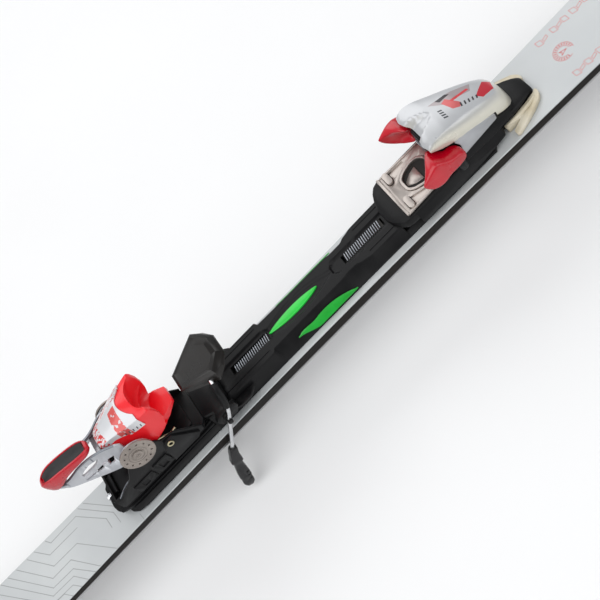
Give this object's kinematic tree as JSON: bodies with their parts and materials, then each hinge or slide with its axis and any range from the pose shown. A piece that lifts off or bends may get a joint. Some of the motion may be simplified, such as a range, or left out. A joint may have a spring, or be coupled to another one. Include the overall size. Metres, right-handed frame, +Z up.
{
  "type": "alpine skis with bindings",
  "caption": "Alpine ski with a toe piece, sprung wings, sliding friction plate, lever-operated step-in heel piece and a pedal-operated two-arm ski brake on an interface plate.",
  "frame": {"origin": "on the running base, on the ski's middle line, near the waist", "axes": "+X along the ski towards its tip, +Y to the skier's left, +Z up out of the top sheet"},
  "size_m": [1.61, 0.1104, 0.172],
  "materials": {
    "top_sheet": "pearl gloss",
    "black_composite": "satin",
    "running_base": "waxed satin",
    "edge_steel": "ground",
    "wood": "raw laminated",
    "black_plastic": "satin",
    "pedal_plastic": "satin gloss",
    "rack_steel": "stamped",
    "green_plastic": "gloss",
    "pearl_white": "pearl gloss",
    "red_plastic": "gloss",
    "silver_plastic": "metallic satin",
    "nickel": "satin nickel",
    "steel": "bright",
    "brass": "plated",
    "ivory_plastic": "satin",
    "lever_alloy": "anodised satin",
    "bronze": "bronze anodised"
  },
  "bodies": {
    "ski": {"running_base": "running_base", "steel_edge_right": "edge_steel", "steel_edge_left": "edge_steel", "lower_laminate": "black_composite", "wood_core": "wood", "sidewall_right": "black_composite", "sidewall_left": "black_composite", "tail_spacer": "black_composite", "tip_spacer": "black_composite", "upper_laminate": "black_composite", "top_sheet": "top_sheet", "interface_plate": "black_plastic", "inlay_center": "green_plastic", "rack_rear": "rack_steel", "rack_front": "rack_steel", "inlay_side_right": "green_plastic", "inlay_side_left": "green_plastic", "heel_track": "black_plastic"},
    "toe": {"toe_base": "black_plastic", "toe_housing": "black_plastic", "toe_cover": "pearl_white", "wing_pin_right": "steel", "wing_pin_left": "steel", "side_panel_right": "silver_plastic", "side_panel_left": "silver_plastic", "toe_piston": "steel", "toe_spring": "steel", "nose_screw": "steel"},
    "afd": {"afd_plate": "nickel"},
    "wing_right": {"wing_right": "red_plastic"},
    "wing_left": {"wing_left": "red_plastic"},
    "lock_clips": {"lock_clip_right": "ivory_plastic", "lock_clip_left": "ivory_plastic"},
    "toe_screw": {"toe_din_screw": "brass"},
    "heel": {"heel_carriage": "black_plastic", "heel_axle": "steel", "pivot_disc_right": "bronze", "pivot_disc_left": "bronze", "disc_screw_right": "bronze", "disc_screw_left": "bronze", "ring_pin_right": "brass", "ring_pin_left": "brass", "heel_strap": "brass", "brake_base": "black_plastic"},
    "forward_screw": {"pressure_screw": "steel"},
    "heel_cup": {"heel_housing": "red_plastic", "heel_panel": "pearl_white", "heel_piston": "steel", "heel_spring": "steel"},
    "heel_screw": {"heel_din_screw": "brass"},
    "lever": {"lever_frame": "lever_alloy", "lever_grip": "red_plastic", "lever_pad": "black_plastic"},
    "brake_arms": {"brake_arm_right": "steel", "brake_arm_left": "steel", "brake_tip_right": "black_plastic", "brake_tip_left": "black_plastic"},
    "brake_pedal": {"brake_pedal": "pedal_plastic"}
  },
  "joints": [
    {"name": "toe_slide", "type": "slide", "parent": "ski", "child": "toe", "axis": [1, 0, 0], "range_m": [-0.012, 0.008]},
    {"name": "afd_slide", "type": "slide", "parent": "toe", "child": "afd", "axis": [0, 1, 0], "range_m": [-0.004, 0.004], "stiffness_N_per_m": 800},
    {"name": "wing_right_turn", "type": "hinge", "parent": "toe", "child": "wing_right", "pos_m": [0.212, -0.032, 0.0516], "axis": [0, 0, 1], "range_deg": [0, 30], "stiffness_Nm_per_rad": 5},
    {"name": "wing_left_turn", "type": "hinge", "parent": "toe", "child": "wing_left", "pos_m": [0.212, 0.032, 0.0516], "axis": [0, 0, -1], "range_deg": [0, 30], "stiffness_Nm_per_rad": 5},
    {"name": "lock_clip_slide", "type": "slide", "parent": "toe", "child": "lock_clips", "axis": [1, 0, 0], "range_m": [0, 0.01]},
    {"name": "toe_screw_turn", "type": "hinge", "parent": "toe", "child": "toe_screw", "pos_m": [0.248, 0, 0.0446], "axis": [1, 0, 0], "continuous": true},
    {"name": "heel_slide", "type": "slide", "parent": "ski", "child": "heel", "axis": [1, 0, 0], "range_m": [-0.01, 0.02]},
    {"name": "forward_screw_turn", "type": "hinge", "parent": "heel", "child": "forward_screw", "pos_m": [-0.24, 0, 0.0276], "axis": [1, 0, 0], "continuous": true},
    {"name": "heel_close", "type": "hinge", "parent": "heel", "child": "heel_cup", "pos_m": [-0.178, 0, 0.0776], "axis": [0, 1, 0], "range_deg": [0, 40]},
    {"name": "heel_screw_turn", "type": "hinge", "parent": "heel_cup", "child": "heel_screw", "pos_m": [-0.195, 0, 0.0906], "axis": [1, 0, 0], "continuous": true},
    {"name": "lever_turn", "type": "hinge", "parent": "heel", "child": "lever", "pos_m": [-0.178, 0, 0.0776], "axis": [0, 1, 0], "range_deg": [0, 44.1]},
    {"name": "brake_turn", "type": "hinge", "parent": "heel", "child": "brake_arms", "pos_m": [-0.103, 0, 0.0296], "axis": [0, 1, 0], "range_deg": [0, 60], "stiffness_Nm_per_rad": 1, "springref_deg": -171.89},
    {"name": "pedal_turn", "type": "hinge", "parent": "brake_arms", "child": "brake_pedal", "pos_m": [-0.084, 0, 0.0696], "axis": [0, 1, 0], "range_deg": [-55.1, 0]}
  ],
  "couplings": [
    {"joint": "lever_turn", "follows": "heel_close", "ratio": 1.1},
    {"joint": "pedal_turn", "follows": "brake_turn", "ratio": -0.9167}
  ]
}
